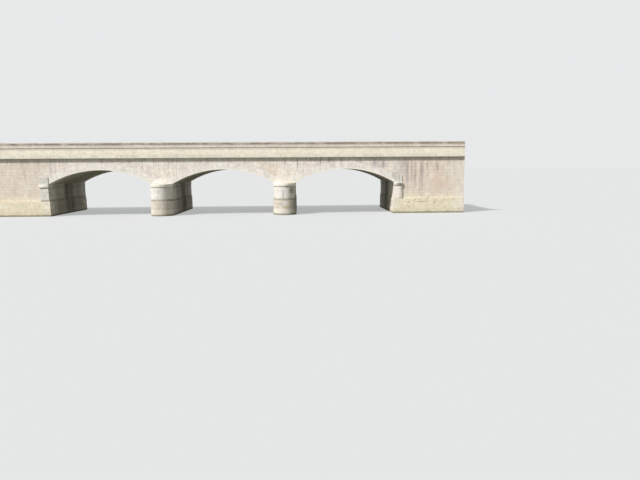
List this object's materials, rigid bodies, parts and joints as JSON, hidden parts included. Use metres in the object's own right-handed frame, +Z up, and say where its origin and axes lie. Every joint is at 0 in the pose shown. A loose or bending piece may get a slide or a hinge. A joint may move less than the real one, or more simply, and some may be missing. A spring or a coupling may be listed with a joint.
{
  "type": "stone arch road bridge",
  "caption": "Low stone road bridge with flat segmental arches, round-nosed piers, a string course and a solid parapet with a round-backed coping.",
  "frame": {"origin": "on the water level, under the crown of the middle arch, halfway between the two faces", "axes": "+X along the road to the right as seen from the front, +Y across the road to the back, +Z up"},
  "size_m": [39.06, 8.8656, 5.8],
  "materials": {
    "pier_stone": "weathered cut limestone, damp and green at the water",
    "cap_stone": "weathered cut limestone with lichen on top",
    "abutment_stone": "coursed tan and pinkish limestone with grey run-off stains",
    "barrel_stone": "coursed limestone soffit, shaded and damp",
    "ring_stone": "pale cut limestone arch stones",
    "spandrel_stone": "coursed limestone, cream with pinkish patches and grey streaks",
    "string_stone": "pale cut limestone, stained below",
    "parapet_stone": "cream limestone slabs",
    "coping_stone": "limestone with dark lichen on the round back",
    "rubble_fill": "rubble and earth fill",
    "road_surface": "worn grey road surface",
    "kerb_stone": "worn grey stone",
    "flag_stone": "worn grey-buff flagstones"
  },
  "bodies": {
    "root": {"pier_left_plinth": "pier_stone", "pier_left_shaft": "pier_stone", "pier_left_caps": "cap_stone", "pier_left_saddle": "spandrel_stone", "pier_right_plinth": "pier_stone", "pier_right_shaft": "pier_stone", "pier_right_caps": "cap_stone", "pier_right_saddle": "spandrel_stone", "abutment_left_plinth": "abutment_stone", "abutment_left_body": "abutment_stone", "abutment_left_fill": "rubble_fill", "abutment_left_pilasters": "pier_stone", "abutment_left_caps": "cap_stone", "abutment_right_plinth": "abutment_stone", "abutment_right_body": "abutment_stone", "abutment_right_fill": "rubble_fill", "abutment_right_pilasters": "pier_stone", "abutment_right_caps": "cap_stone", "arch_left_barrel": "barrel_stone", "arch_middle_barrel": "barrel_stone", "arch_right_barrel": "barrel_stone", "arch_left_rings": "ring_stone", "arch_middle_rings": "ring_stone", "arch_right_rings": "ring_stone", "spandrel_left_pier_front": "spandrel_stone", "spandrel_left_pier_back": "spandrel_stone", "spandrel_right_pier_front": "spandrel_stone", "spandrel_right_pier_back": "spandrel_stone", "spandrel_left_end_front": "spandrel_stone", "spandrel_left_end_back": "spandrel_stone", "spandrel_right_end_front": "spandrel_stone", "spandrel_right_end_back": "spandrel_stone", "hearting_left_pier": "rubble_fill", "hearting_right_pier": "rubble_fill", "hearting_left_end": "rubble_fill", "hearting_right_end": "rubble_fill", "string_course_front": "string_stone", "string_course_back": "string_stone", "parapet_front": "parapet_stone", "parapet_back": "parapet_stone", "coping_front": "coping_stone", "coping_back": "coping_stone", "carriageway": "road_surface", "kerbs": "kerb_stone", "footways": "flag_stone"}
  },
  "joints": []
}
